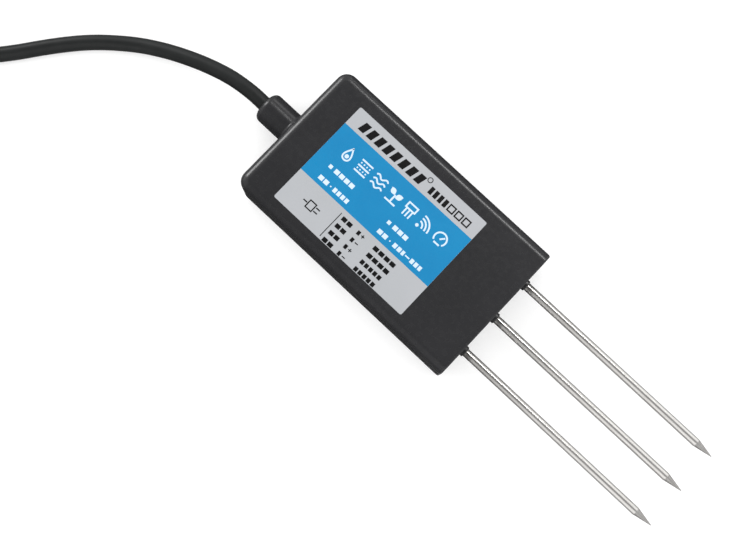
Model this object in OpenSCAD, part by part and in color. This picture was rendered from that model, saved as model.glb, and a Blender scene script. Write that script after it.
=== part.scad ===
// Soil moisture sensor: a potted block with three steel probes and a signal cable.
// It lies on its back. +X points along the probes, +Y is the top of the label's print,
// and +Z points out of the label. The origin is under the middle of the sensor, cable excepted.

/* [Housing] */
// Length of the housing, from the cable end to the open end
body_l = 78; // [72:1:90]
// Width of the housing
body_w = 45; // [42:1:54]
// Thickness of the housing
body_t = 15; // [15:0.5:18]
// Wall thickness
wall = 2; // [1.6:0.1:2.4]
// Corner radius seen from above, at the cable end
corner_r = 3.6; // [3.2:0.2:5]
// Radius of the rounded long edges
edge_r = 2.7; // [1:0.1:3]
// How far the potting stays back from the open end
potting_recess = 0.5; // [0.2:0.1:1]

/* [Cable boss] */
// Outer diameter of the cable boss
boss_d = 9.4; // [9:0.1:12]
// Length of the cable boss
boss_l = 10.6; // [8:0.1:14]
// Radius of the boss's rounded rim
boss_rim_r = 1.7; // [0.8:0.1:1.8]

/* [Probes] */
// Probe diameter
probe_d = 2.5; // [2:0.1:3]
// Probe length outside the housing
probe_l = 70; // [50:1:80]
// Distance between neighbouring probes
probe_pitch = 12.7; // [11:0.1:14]
// Length of the conical tip
tip_l = 5.8; // [4:0.2:8]
// Radius of the blunted point
point_r = 0.12; // [0.1:0.02:0.3]

/* [Label] */
// Label length
label_l = 48; // [40:1:52]
// Label width
label_w = 35; // [30:1:37]
// Label thickness
label_t = 0.2; // [0.2:0.05:0.4]
// Distance from the cable end to the label
label_margin = 11; // [9:0.5:14]
// How far the label sits off the middle line
label_shift = -0.8; // [-1:0.1:1]

/* [Cable] */
// Cable diameter
cable_d = 4.5; // [4:0.1:5]
// Diameter of one insulated core
core_d = 1.2; // [1:0.05:1.3]
// Length of the free cores past the jacket
core_l = 34; // [24:1:38]
// Length of the tinned wire past each core
tinned_l = 6; // [4:0.5:8]

/* [Hidden] */

fine = 64;          // segments of the round parts
arc_steps = 8;      // segments of a quarter turn on a moulded edge
eps = 0.01;         // overlap that keeps a cut clean

// Places along X, from the boss's face to the probe points
x_boss = -(boss_l + body_l + probe_l) / 2;
x_back = x_boss + boss_l;
x_open = x_back + body_l;
x_point = x_open + probe_l;
z_mid = body_t / 2;

// Probes: a thinner root inside an insulating sleeve, and a shoulder where the sleeve ends
root_d = probe_d - 0.4;
sleeve_wall = 0.6;
sleeve_out = 1;     // sleeve showing outside the housing
root_l = 17;        // probe length inside the housing
probe_lap = 10;     // probe length that lies on the circuit board
x_root = x_open - root_l;
x_shoulder = x_open + sleeve_out;

// Circuit board, with the probes just clear of its face
board_l = 56;
board_w = 38;
board_t = 1.6;
solder_gap = 0.1;
board_top = z_mid - root_d / 2 - solder_gap;
x_board = x_root + probe_lap - board_l;
joint_size = [7, 3.8, 1.4];

// Cable inside the housing
inner_l = 7;        // jacket length past the inner wall
x_jacket = x_back + wall + inner_l;
grommet_wall = 0.9;
grommet_l = boss_l + wall;
clamp_size = [2.6, 7.2, 7.2];
shrink_wall = 0.3;
shrink_l = 4;
core_spread = 0.85; // core's offset from the cable's axis, each way
core_side = [[-1, 1], [-1, -1], [1, 1], [1, -1]];
pad_pitch = 3.2;
pad_x = x_board + 5.5;
pad_wire_z = board_top + 0.75;
pad_d = 2.2;
pad_h = 1.5;

// Stored cable: a flat coil of three layers on two ties
coil_at = [-200.5, -32];
tie_t = 0.8;
tie_w = 3;
tie_head = [3, 4.6, 4.6];
turn_gap = 4.55;    // from one turn to the next, across and up
coil_in_r = 18.2;   // innermost turn
coil_turns = 3.7;   // turns in each of the two lower layers
coil_out_r = coil_in_r + coil_turns * turn_gap;
coil_base = tie_t;
shelf_z = coil_base + cable_d + turn_gap;
coil_top = shelf_z + turn_gap;
tail_r = 20.5;      // last stretch of the jacket, on the inner shelf
tail_z = shelf_z + cable_d / 2;
shelf_r = tail_r + cable_d / 2;
tail_from = 75;     // angles around the coil, clockwise seen from above
tail_to = 5;
tie_angle = 40;     // one tie over the tail, the other across the coil from it
tail_rings = 9;
lead_rings = 9;
tinned_rings = 3;
lead_fan = 1.5;     // from one lead to the next once they lie side by side
lead_r = 19.4;
tube_sides = 10;
thin_sides = 8;

// Where the cable lies, from the boss to the coil
cable_route = [
    [x_boss, 0, z_mid], [-84.5, 0, z_mid], [-91.5, -0.7, 7], [-98.5, -2.3, 6], [-105.5, -4.6, 4.8],
    [-112.6, -7.6, 3.6], [-119.3, -11.3, 2.7], [-125.3, -15.7, 2.3], [-130.8, -20.7, 2.3],
    [-135.7, -26.2, 2.3], [-140.2, -32, 2.3], [-144.5, -37.9, 2.3], [-149.2, -43.6, 2.3],
    [-154.4, -48.9, 2.3], [-160.3, -53.7, 2.4], [-166.7, -57.8, 2.6], [-173.7, -61.3, 2.8],
    [-181.1, -64.1, 3]
];

// Vector and path functions
function unit(v) = v / norm(v);
function course(path, i) =
    unit(path[min(i + 1, len(path) - 1)] - path[max(i - 1, 0)]);
function ring(centre, dir, r, sides) =
    let (side = unit(cross(dir, [0, 0, 1])), up = cross(side, dir))
    [for (k = [0:sides - 1]) let (a = 360 * (k + 0.5) / sides)
        centre + r * (cos(a) * side + sin(a) * up)];
function on_coil(angle, r, z) =
    [coil_at[0] + r * cos(angle), coil_at[1] + r * sin(angle), z];
function ease(t) = (1 - cos(180 * min(max(t, 0), 1))) / 2;
function mix(a, b, t) = a + (b - a) * t;
function arc(centre, r, from) =
    [for (k = [0:arc_steps]) let (a = from + 90 * k / arc_steps)
        centre + r * [cos(a), sin(a)]];

// A lead leaves the jacket as one of four cores and settles on the shelf beside the others
lead_angle = (core_l + tinned_l) / lead_r * 180 / PI;
function lead_point(i, t) =
    let (settle = ease(t * 2.2), cluster = core_side[i] * core_spread)
    on_coil(
        tail_to - t * lead_angle,
        mix(tail_r + cluster[0], lead_r + (i - 1.5) * lead_fan, settle),
        mix(tail_z + cluster[1], shelf_z + core_d / 2, settle));
lead_share = core_l / (core_l + tinned_l);

// A tube along a path, as one closed polyhedron
module sweep(path, r, sides) {
    n = len(path);
    points = [for (i = [0:n - 1]) each ring(path[i], course(path, i), r, sides)];
    walls = [for (i = [0:n - 2], k = [0:sides - 1])
        let (a = i * sides + k, b = i * sides + (k + 1) % sides)
        each [[a, b, b + sides], [a, b + sides, a + sides]]];
    start = [for (k = [0:sides - 1]) sides - 1 - k];
    finish = [for (k = [0:sides - 1]) (n - 1) * sides + k];
    polyhedron(points, concat(walls, [start, finish]), convexity = 6);
}

// A round bar along +X from a point on the axis
module bar_x(from, length, r) {
    translate(from) rotate([0, 90, 0]) cylinder(h = length, r = r, $fn = fine);
}

// A straight round wire between two points
module wire(a, b, r) {
    d = b - a;
    translate(a)
        rotate([0, acos(d[2] / norm(d)), atan2(d[1], d[0])])
        cylinder(h = norm(d), r = r, $fn = fine);
}

// A block standing on the board, placed by the middle of its foot
module on_board(x, y, size) {
    translate([x - size[0] / 2, y - size[1] / 2, board_top]) cube(size);
}

// Housing

// Outline from above, with the two corners at the cable end rounded
module plan_outline() {
    y = body_w / 2;
    polygon(concat(
        arc([x_back + corner_r, y - corner_r], corner_r, 90),
        arc([x_back + corner_r, corner_r - y], corner_r, 180),
        [[x_open, -y], [x_open, y]]));
}

// Section across the housing, with y to the right and z up
module end_outline() {
    y = body_w / 2 - edge_r;
    polygon(concat(
        arc([y, body_t - edge_r], edge_r, 0), arc([-y, body_t - edge_r], edge_r, 90),
        arc([-y, edge_r], edge_r, 180), arc([y, edge_r], edge_r, 270)));
}

// Section along the housing, with x to the right and z up
module side_outline() {
    polygon(concat(
        arc([x_back + edge_r, body_t - edge_r], edge_r, 90),
        arc([x_back + edge_r, edge_r], edge_r, 180),
        [[x_open, 0], [x_open, body_t]]));
}

module housing_outline() {
    intersection() {
        linear_extrude(body_t) plan_outline();
        translate([x_back, 0, 0]) rotate([90, 0, 90]) linear_extrude(body_l) end_outline();
        translate([0, body_w / 2, 0]) rotate([90, 0, 0]) linear_extrude(body_w) side_outline();
    }
}

// Half section of the boss: a bar with a rounded rim, reaching into the wall
module boss_section() {
    r = boss_d / 2;
    foot = boss_l + wall / 2;
    polygon(concat(
        [[0, 0]], arc([r - boss_rim_r, boss_rim_r], boss_rim_r, -90), [[r, foot], [0, foot]]));
}

module housing_shell() {
    color("#37383b") difference() {
        union() {
            housing_outline();
            translate([x_boss, 0, z_mid]) rotate([0, 90, 0])
                rotate_extrude($fn = fine) boss_section();
        }
        cavity();
        bar_x([x_boss - eps, 0, z_mid], grommet_l + 2 * eps, cable_d / 2 + grommet_wall);
    }
}

module cavity() {
    translate([x_back + wall, wall - body_w / 2, wall])
        cube([body_l, body_w - 2 * wall, body_t - 2 * wall]);
}

module label() {
    color("#c4c6c8")
        translate([x_back + label_margin, label_shift - label_w / 2, body_t])
        cube([label_l, label_w, label_t]);
}

// Probes, with side -1, 0 or 1 across the housing

module probe_root(side) {
    bar_x([x_root, side * probe_pitch, z_mid], x_shoulder - x_root, root_d / 2);
}

module probe_body(side) {
    probe_root(side);
    translate([x_shoulder, side * probe_pitch, z_mid]) rotate([0, 90, 0])
        rotate_extrude($fn = fine) polygon([
            [0, 0], [probe_d / 2, 0], [probe_d / 2, x_point - tip_l - x_shoulder],
            [point_r, x_point - x_shoulder], [0, x_point - x_shoulder]
        ]);
}

module probe(side) {
    color("#c9ccd0") probe_body(side);
}

module sleeve_blank(side) {
    from = x_root + probe_lap + 0.5;
    bar_x([from, side * probe_pitch, z_mid], x_shoulder - from, root_d / 2 + sleeve_wall);
}

module sleeve(side) {
    color("#232426") difference() {
        sleeve_blank(side);
        bar_x([x_root, side * probe_pitch, z_mid], root_l + 2 * sleeve_out, root_d / 2);
    }
}

module probe_joint_blank(side) {
    on_board(x_root + probe_lap / 2, side * probe_pitch, joint_size);
}

module probe_joint(side) {
    color("#b4b7ba") difference() {
        probe_joint_blank(side);
        probe_root(side);
    }
}

// Cable entry

module cable_grommet() {
    color("#2a2b2d") difference() {
        bar_x([x_boss, 0, z_mid], grommet_l, cable_d / 2 + grommet_wall);
        bar_x([x_boss - eps, 0, z_mid], grommet_l + 2 * eps, cable_d / 2);
    }
}

module cable_inner() {
    color("#2f3032") bar_x([x_boss, 0, z_mid], x_jacket - x_boss, cable_d / 2);
}

module clamp_blank() {
    translate([x_back + wall + 1, -clamp_size[1] / 2, z_mid - clamp_size[2] / 2])
        cube(clamp_size);
}

module cable_clamp() {
    color("#e6e6e2") difference() {
        clamp_blank();
        cable_inner();
    }
}

module shrink_blank() {
    bar_x([x_jacket - shrink_l / 2, 0, z_mid], shrink_l, cable_d / 2 + shrink_wall);
}

module jacket_shrink() {
    color("#1d1e1f") difference() {
        shrink_blank();
        bar_x([x_jacket - shrink_l, 0, z_mid], 2 * shrink_l, cable_d / 2);
    }
}

// Cores inside the housing, i from 0 to 3

core_colors = ["#c8281e", "#1e8a3c", "#1f4fb4", "#e6c21e"];

function pad_at(i) = [pad_x, (i - 1.5) * pad_pitch, pad_wire_z];

module core_body(i) {
    y = sign(i - 1.5) * core_spread;
    z = z_mid + (i % 2 == 0 ? 1 : -1) * core_spread;
    wire([x_jacket, y, z], pad_at(i), core_d / 2);
}

module core(i) {
    color(core_colors[i]) core_body(i);
}

module wire_joint_blank(i) {
    translate([pad_x, pad_at(i)[1], board_top])
        cylinder(h = pad_h, r1 = pad_d / 2, r2 = pad_d / 3, $fn = fine);
}

module wire_joint(i) {
    color("#b4b7ba") difference() {
        wire_joint_blank(i);
        core_body(i);
    }
}

// Circuit board and what is on it

module pcb() {
    color("#1f6b3a")
        translate([x_board, -board_w / 2, board_top - board_t])
        cube([board_l, board_w, board_t]);
}

module controller() {
    color("#1a1a1c") on_board(-27, 2, [9, 9, 1.4]);
}

module transceiver() {
    color("#1a1a1c") on_board(-42, 10, [5, 6, 1.6]);
}

module regulator() {
    color("#1a1a1c") on_board(-42, -11, [6.5, 7, 1.7]);
}

module crystal() {
    can = [6.4, 4.6, 3.5];
    color("#c3c6c9") on_board(-27, -9, can);
    color("#c3c6c9") for (s = [-1, 1])
        translate([-27 + s * can[0] / 2, -9, board_top])
        cylinder(h = can[2], d = can[1], $fn = fine);
}

module inductor() {
    color("#3a3a3e") on_board(-33, -15, [5, 5, 2.8]);
}

module bulk_capacitor() {
    color("#b9bcc0") translate([-34, 12, board_top]) cylinder(h = 5.6, d = 6.3, $fn = fine);
}

module small_capacitor(x, y) {
    color("#b08a5a") on_board(x, y, [2, 1.3, 1]);
}

module resistor(x, y) {
    color("#202022") on_board(x, y, [2, 1.3, 0.6]);
}

module diode(x, y) {
    color("#202022") on_board(x, y, [2.6, 4.4, 2.2]);
}

module thermistor() {
    color("#33201a") on_board(-11, -6.3, [2.4, 1.6, 1]);
}

module board_parts() {
    controller();
    transceiver();
    regulator();
    crystal();
    inductor();
    bulk_capacitor();
    thermistor();
    for (at = capacitor_at) small_capacitor(at[0], at[1]);
    for (at = resistor_at) resistor(at[0], at[1]);
    for (at = diode_at) diode(at[0], at[1]);
}

capacitor_at = [[-19, 6], [-19, -4], [-42, 3]];
resistor_at = [[-12, 3], [-12, 9], [-17, 14]];
diode_at = [[-49, 13], [-49, -14]];

// Resin that fills the housing around everything inside
module potting() {
    color("#1b1c1e") difference() {
        translate([x_back + wall, wall - body_w / 2, wall])
            cube([body_l - wall - potting_recess, body_w - 2 * wall, body_t - 2 * wall]);
        cable_inner();
        clamp_blank();
        shrink_blank();
        pcb();
        board_parts();
        for (i = [0:3]) {
            core_body(i);
            wire_joint_blank(i);
        }
        for (side = [-1:1]) {
            probe_root(side);
            sleeve_blank(side);
            probe_joint_blank(side);
        }
    }
}

// Stored cable

// Half section of the coil, low on its inner side where the top layer stops short
module coil_section() {
    c = cable_d / 2;
    low = coil_in_r - c;
    high = coil_out_r + c;
    polygon([
        [low + c, coil_base], [high - c, coil_base], [high, coil_base + c],
        [high, coil_top - c], [high - c, coil_top], [shelf_r + c, coil_top],
        [shelf_r, coil_top - c], [shelf_r, shelf_z], [low + c, shelf_z],
        [low, shelf_z - c], [low, coil_base + c]
    ]);
}

module cable_coil() {
    color("#2f3032") translate([coil_at[0], coil_at[1], 0])
        rotate_extrude($fn = 96) coil_section();
}

module cable_tube() {
    color("#2f3032") difference() {
        sweep(cable_route, cable_d / 2, tube_sides);
        cable_coil();
    }
}

// The last stretch of the jacket, on the shelf that the top layer leaves free
module cable_tail() {
    path = [for (k = [0:tail_rings - 1])
        on_coil(mix(tail_from, tail_to, k / (tail_rings - 1)), tail_r, tail_z)];
    color("#2f3032") sweep(path, cable_d / 2, tube_sides);
}

// A flat tie around the coil's section, with its head outside. Its inner top corner
// stands up over the tail, or slopes down to the shelf where there is no tail.
module coil_tie(angle, over_tail) {
    inner = coil_in_r - cable_d / 2 - tie_t;
    outer = coil_out_r + cable_d / 2 + tie_t;
    top = coil_top + tie_t;
    bend = 2;
    slope = over_tail
        ? [[inner + 2 * bend, top], [inner + bend, top - bend],
            [inner + bend, shelf_z + 1], [inner, shelf_z - 1]]
        : [[shelf_r + 1, top], [inner, shelf_z - 0.6]];
    color("#1c1d1f") difference() {
        translate([coil_at[0], coil_at[1], 0]) rotate([0, 0, angle]) {
            rotate([90, 0, 0]) translate([0, 0, -tie_w / 2])
                linear_extrude(tie_w) polygon(concat(
                    [[inner + 1, 0], [outer - bend, 0], [outer, bend],
                    [outer, top - bend], [outer - bend, top]],
                    slope, [[inner, bend]]));
            translate([outer - eps, -tie_head[1] / 2, (coil_top - tie_head[2]) / 2])
                cube(tie_head);
        }
        cable_coil();
        if (over_tail) shelf_ring();
    }
}

// The space that the tail takes up on the shelf, all round
module shelf_ring() {
    translate([coil_at[0], coil_at[1], 0]) rotate_extrude($fn = 96)
        translate([tail_r - cable_d / 2, shelf_z - eps])
        square([cable_d * 0.75, coil_top - shelf_z + eps]);
}

// Stripped cores past the jacket's end, i from 0 to 3

module lead(i) {
    path = [for (k = [0:lead_rings - 1]) lead_point(i, lead_share * k / (lead_rings - 1))];
    color(core_colors[i]) sweep(path, core_d / 2, thin_sides);
}

module tinned(i) {
    path = [for (k = [0:tinned_rings - 1])
        lead_point(i, mix(lead_share, 1, k / (tinned_rings - 1)))];
    color("#c2c4c6") sweep(path, core_d / 3, thin_sides);
}

housing_shell();
potting();
label();
probe(1);  // probe_left
probe(0);  // probe_centre
probe(-1);  // probe_right
sleeve(1);  // sleeve_left
sleeve(0);  // sleeve_centre
sleeve(-1);  // sleeve_right
probe_joint(1);  // probe_joint_left
probe_joint(0);  // probe_joint_centre
probe_joint(-1);  // probe_joint_right
cable_grommet();
cable_inner();
cable_clamp();
jacket_shrink();
core(0);  // core_red
core(1);  // core_green
core(2);  // core_blue
core(3);  // core_yellow
wire_joint(0);  // wire_joint_red
wire_joint(1);  // wire_joint_green
wire_joint(2);  // wire_joint_blue
wire_joint(3);  // wire_joint_yellow
pcb();
controller();
transceiver();
regulator();
crystal();
inductor();
bulk_capacitor();
small_capacitor(capacitor_at[0][0], capacitor_at[0][1]);  // capacitor_a
small_capacitor(capacitor_at[1][0], capacitor_at[1][1]);  // capacitor_b
small_capacitor(capacitor_at[2][0], capacitor_at[2][1]);  // capacitor_c
resistor(resistor_at[0][0], resistor_at[0][1]);  // resistor_a
resistor(resistor_at[1][0], resistor_at[1][1]);  // resistor_b
resistor(resistor_at[2][0], resistor_at[2][1]);  // resistor_c
diode(diode_at[0][0], diode_at[0][1]);  // diode_a
diode(diode_at[1][0], diode_at[1][1]);  // diode_b
thermistor();
cable_tube();
cable_coil();
cable_tail();
coil_tie(tie_angle, true);  // coil_tie_a
coil_tie(tie_angle + 180, false);  // coil_tie_b
lead(0);  // lead_red
lead(1);  // lead_green
lead(2);  // lead_blue
lead(3);  // lead_yellow
tinned(0);  // tinned_red
tinned(1);  // tinned_green
tinned(2);  // tinned_blue
tinned(3);  // tinned_yellow
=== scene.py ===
import math

import bmesh
import bpy
from mathutils import Matrix, Vector, noise


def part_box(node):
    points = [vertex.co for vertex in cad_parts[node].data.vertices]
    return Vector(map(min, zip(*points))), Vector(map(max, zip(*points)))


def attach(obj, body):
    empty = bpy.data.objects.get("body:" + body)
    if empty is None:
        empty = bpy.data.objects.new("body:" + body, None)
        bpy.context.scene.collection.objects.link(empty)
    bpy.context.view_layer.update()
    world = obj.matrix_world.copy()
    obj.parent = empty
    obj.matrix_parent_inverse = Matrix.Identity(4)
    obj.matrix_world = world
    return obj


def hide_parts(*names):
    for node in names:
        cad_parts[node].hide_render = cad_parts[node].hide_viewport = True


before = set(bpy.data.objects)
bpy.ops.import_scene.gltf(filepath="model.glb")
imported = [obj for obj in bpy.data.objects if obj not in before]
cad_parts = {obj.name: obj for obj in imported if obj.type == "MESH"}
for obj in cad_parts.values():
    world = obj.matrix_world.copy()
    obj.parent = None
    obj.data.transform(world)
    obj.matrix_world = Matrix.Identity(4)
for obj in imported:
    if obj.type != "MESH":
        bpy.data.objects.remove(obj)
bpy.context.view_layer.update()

MM = 0.001
TURN = 2 * math.pi


# ---------------------------------------------------------------- sizes, in mm

def box_mm(node):
    """The lowest and highest corners of a CAD node, in mm."""
    low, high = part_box(node)
    return low / MM, high / MM


SHELL_LOW, SHELL_HIGH = box_mm("housing_shell")
RESIN_LOW, RESIN_HIGH = box_mm("potting")
LABEL_LOW, LABEL_HIGH = box_mm("label")
GROMMET_LOW, GROMMET_HIGH = box_mm("cable_grommet")

CABLE_D = 4.5
CABLE_R = CABLE_D / 2
WALL = 2.0
CORNER_R = 3.6          # plan corners at the cable end
EDGE_R = 2.7            # long edges and cable-end edges
LIP_PROFILE = ((0, 0.32), (0.06, 0.2), (0.2, 0.14), (0.55, 0))   # (back from the open end, draw-in)
BOSS_R = 4.7
BOSS_RIM_R = 1.7
BOSS_ROOT_R = 0.9       # fillet where the boss meets the end wall
BOSS_L = 10.6

X_BOSS = GROMMET_LOW.x
X_BACK = X_BOSS + BOSS_L
X_OPEN = SHELL_HIGH.x
Z_TOP = SHELL_HIGH.z
Z_MID = Z_TOP / 2
HALF_W = SHELL_HIGH.y


# ---------------------------------------------------------------- mesh tools

def finish_mesh(name, bm, sharp=35):
    """Turns bm, in mm, into an object in metres, smooth except at edges sharper than that angle."""
    bmesh.ops.recalc_face_normals(bm, faces=bm.faces)
    bmesh.ops.scale(bm, vec=(MM, MM, MM), verts=bm.verts)
    mesh = bpy.data.meshes.new(name)
    bm.to_mesh(mesh)
    bm.free()
    mesh.shade_smooth()
    mesh.set_sharp_from_angle(angle=math.radians(sharp))
    obj = bpy.data.objects.new(name, mesh)
    bpy.context.scene.collection.objects.link(obj)
    return obj


def apply_modifiers(obj):
    graph = bpy.context.evaluated_depsgraph_get()
    mesh = bpy.data.meshes.new_from_object(obj.evaluated_get(graph))
    obj.modifiers.clear()
    old = obj.data
    obj.data = mesh
    mesh.name = obj.name
    bpy.data.meshes.remove(old)


def boolean(obj, other, operation):
    """Joins or cuts obj with other, which is then gone."""
    step = obj.modifiers.new("cut", "BOOLEAN")
    step.operation = operation
    step.solver = "EXACT"
    step.object = other
    apply_modifiers(obj)
    bpy.data.objects.remove(other)


def face_strips(bm, rows, closed_rows=False, closed_columns=False):
    """Quads between neighbouring rows of vertices."""
    count = len(rows)
    for i in range(count if closed_rows else count - 1):
        a, b = rows[i], rows[(i + 1) % count]
        wide = len(a)
        for j in range(wide if closed_columns else wide - 1):
            k = (j + 1) % wide
            bm.faces.new((a[j], a[k], b[k], b[j]))


def lathe(name, profile, y, z, sides=64, closed=False):
    """A solid turned about a line along X, from (x, radius) points. An end on the line closes in a point."""
    bm = bmesh.new()
    rows = []
    for x, r in profile:
        if r < 1e-6:
            rows.append([bm.verts.new((x, y, z))])
            continue
        rows.append([
            bm.verts.new((x, y + r * math.cos(TURN * k / sides), z + r * math.sin(TURN * k / sides)))
            for k in range(sides)
        ])
    pairs = list(zip(rows, rows[1:]))
    if closed:
        pairs.append((rows[-1], rows[0]))
    for a, b in pairs:
        for k in range(sides):
            n = (k + 1) % sides
            if len(a) == 1:
                bm.faces.new((a[0], b[n], b[k]))
            elif len(b) == 1:
                bm.faces.new((a[k], a[n], b[0]))
            else:
                bm.faces.new((a[k], a[n], b[n], b[k]))
    return finish_mesh(name, bm)


def arc(x, y, r, start, end, steps):
    """Points on a circle about (x, y), from one angle to another in degrees."""
    found = []
    for k in range(steps + 1):
        a = math.radians(start + (end - start) * k / steps)
        found.append((x + r * math.cos(a), y + r * math.sin(a)))
    return found


def tube(name, path, ring):
    """A solid swept along path, in mm. ring(i) is the closed outline at point i, as (across, up) pairs."""
    bm = bmesh.new()
    rows = []
    last = len(path) - 1
    for i, point in enumerate(path):
        course = (path[min(i + 1, last)] - path[max(i - 1, 0)]).normalized()
        across = course.cross(Vector((0, 0, 1))).normalized()
        up = across.cross(course)
        rows.append([bm.verts.new(point + across * a + up * b) for a, b in ring(i)])
    face_strips(bm, rows, closed_columns=True)
    bm.faces.new(rows[0])
    bm.faces.new(rows[-1])
    return finish_mesh(name, bm, 50)


# ---------------------------------------------------------------- materials

class Finish:
    """A node material with helpers for procedural colour, roughness and relief."""

    def __init__(self, name, color, roughness, **sockets):
        self.material = bpy.data.materials.new(name)
        self.material.use_nodes = True
        self.tree = self.material.node_tree
        self.shader = self.tree.nodes["Principled BSDF"]
        self.color = tuple(color)
        self.shader.inputs["Base Color"].default_value = (*color, 1)
        self.shader.inputs["Roughness"].default_value = roughness
        for key, value in sockets.items():
            self.shader.inputs[key.replace("_", " ")].default_value = value
        self.material.diffuse_color = (*color, 1)
        self.place = self.tree.nodes.new("ShaderNodeTexCoord").outputs["Object"]
        self.normal = None

    def node(self, kind):
        return self.tree.nodes.new(kind)

    def link(self, start, end):
        self.tree.links.new(start, end)

    def stretched(self, scale):
        """Object coordinates in mm, times scale on each axis."""
        mapping = self.node("ShaderNodeMapping")
        mapping.inputs["Scale"].default_value = [s / MM for s in scale]
        self.link(self.place, mapping.inputs["Vector"])
        return mapping.outputs["Vector"]

    def noise(self, scale, detail=3, rough=0.55):
        """Noise with that many cells in a mm on each axis."""
        made = self.node("ShaderNodeTexNoise")
        made.inputs["Scale"].default_value = 1
        made.inputs["Detail"].default_value = detail
        made.inputs["Roughness"].default_value = rough
        self.link(self.stretched(scale), made.inputs["Vector"])
        return made.outputs["Fac"]

    def cells(self, scale):
        """Distance to the middle of the cell, on an even grid with that many cells in a mm."""
        made = self.node("ShaderNodeTexVoronoi")
        made.inputs["Scale"].default_value = 1
        made.inputs["Randomness"].default_value = 0
        self.link(self.stretched(scale), made.inputs["Vector"])
        return made.outputs["Distance"]

    def span(self, value, low, high, start, end):
        """value, from low to high, mapped to start to end."""
        made = self.node("ShaderNodeMapRange")
        for key, number in (("From Min", low), ("From Max", high), ("To Min", start), ("To Max", end)):
            made.inputs[key].default_value = number
        self.link(value, made.inputs["Value"])
        return made.outputs["Result"]

    def vary_color(self, value, other, low=0.3, high=0.7):
        """Colour from the base to the other one as value goes from low to high."""
        ramp = self.node("ShaderNodeValToRGB")
        ramp.color_ramp.elements[0].position = low
        ramp.color_ramp.elements[1].position = high
        ramp.color_ramp.elements[0].color = (*self.color, 1)
        ramp.color_ramp.elements[1].color = (*other, 1)
        self.link(value, ramp.inputs["Fac"])
        self.link(ramp.outputs["Color"], self.shader.inputs["Base Color"])

    def vary_roughness(self, value, low, high):
        """Roughness from low to high, as value goes through the middle of its range."""
        self.link(self.span(value, 0.3, 0.7, low, high), self.shader.inputs["Roughness"])

    def relief(self, value, depth_mm):
        """Adds bump of that depth."""
        bump = self.node("ShaderNodeBump")
        bump.inputs["Distance"].default_value = depth_mm * MM
        bump.inputs["Strength"].default_value = 1
        self.link(value, bump.inputs["Height"])
        if self.normal is not None:
            self.link(self.normal, bump.inputs["Normal"])
        self.normal = bump.outputs["Normal"]
        self.link(self.normal, self.shader.inputs["Normal"])


def srgb(*values):
    """Linear colour from 0 to 255 sRGB values."""
    found = []
    for value in values:
        c = value / 255
        found.append(c / 12.92 if c <= 0.04045 else ((c + 0.055) / 1.055) ** 2.4)
    return tuple(found)


def moulded_plastic():
    f = Finish("moulded_plastic", srgb(39, 39, 41), 0.26)
    f.vary_color(f.noise((0.09, 0.09, 0.09), 3), srgb(42, 42, 44), 0.35, 0.7)
    f.vary_roughness(f.noise((0.6, 0.6, 0.6), 4), 0.23, 0.3)
    f.relief(f.noise((0.035, 0.05, 0.05), 2), 0.04)
    f.relief(f.noise((3.4, 3.4, 3.4), 3, 0.6), 0.008)
    return f.material


def cable_jacket():
    f = Finish("cable_jacket", srgb(28, 30, 30), 0.42, Specular_IOR_Level=0.3)
    f.vary_color(f.noise((0.12, 0.12, 0.12), 3), srgb(33, 35, 35), 0.35, 0.7)
    f.vary_roughness(f.noise((0.5, 0.5, 0.5), 3), 0.38, 0.48)
    f.relief(f.noise((0.5, 0.5, 0.5), 2), 0.012)
    f.relief(f.noise((6, 6, 6), 3), 0.004)
    return f.material


def steel():
    f = Finish("probe_steel", (0.7, 0.685, 0.665), 0.2, Metallic=1.0)
    f.vary_color(f.noise((0.22, 1.3, 1.3), 4), (0.63, 0.61, 0.59), 0.4, 0.75)
    f.vary_roughness(f.noise((0.3, 4, 4), 3), 0.17, 0.28)
    f.relief(f.noise((0.5, 5, 5), 3, 0.6), 0.0004)
    return f.material


def resin():
    f = Finish("potting_resin", srgb(16, 16, 18), 0.12, Coat_Weight=0.4, Coat_Roughness=0.05)
    f.vary_color(f.noise((0.3, 0.3, 0.3), 3), srgb(22, 22, 24), 0.4, 0.7)
    f.vary_roughness(f.noise((0.4, 0.4, 0.4), 3), 0.09, 0.2)
    f.relief(f.noise((0.16, 0.16, 0.16), 2), 0.06)
    return f.material


def rubber(name, color, shine=0.5):
    f = Finish(name, color, shine)
    f.vary_color(f.noise((0.8, 0.8, 0.8), 3), tuple(c * 1.25 for c in color))
    f.vary_roughness(f.noise((1.2, 1.2, 1.2), 3), shine - 0.06, shine + 0.08)
    f.relief(f.noise((4, 4, 4), 3), 0.006)
    return f.material


def label_film():
    f = Finish("label_film", srgb(173, 175, 179), 0.4, Specular_IOR_Level=0.3)
    f.vary_color(f.noise((0.05, 0.05, 0.05), 2), srgb(167, 170, 173), 0.3, 0.75)
    f.vary_roughness(f.noise((0.8, 0.8, 0.8), 3), 0.34, 0.44)
    f.relief(f.noise((0.05, 0.07, 0.05), 2), 0.03)
    return f.material


def ink(name, color, other, shine=0.4):
    f = Finish(name, color, shine, Specular_IOR_Level=0.25)
    f.vary_color(f.noise((0.07, 0.07, 0.07), 3), other, 0.3, 0.75)
    f.vary_roughness(f.noise((0.9, 0.9, 0.9), 3), shine - 0.04, shine + 0.06)
    f.relief(f.noise((0.05, 0.07, 0.05), 2), 0.03)
    return f.material


def solder(name, color=(0.62, 0.63, 0.65)):
    f = Finish(name, color, 0.28, Metallic=1.0)
    f.vary_color(f.noise((1.5, 1.5, 1.5), 3), tuple(c * 0.8 for c in color))
    f.vary_roughness(f.noise((2, 2, 2), 3), 0.2, 0.4)
    f.relief(f.noise((1.6, 1.6, 1.6), 3), 0.03)
    return f.material


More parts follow.
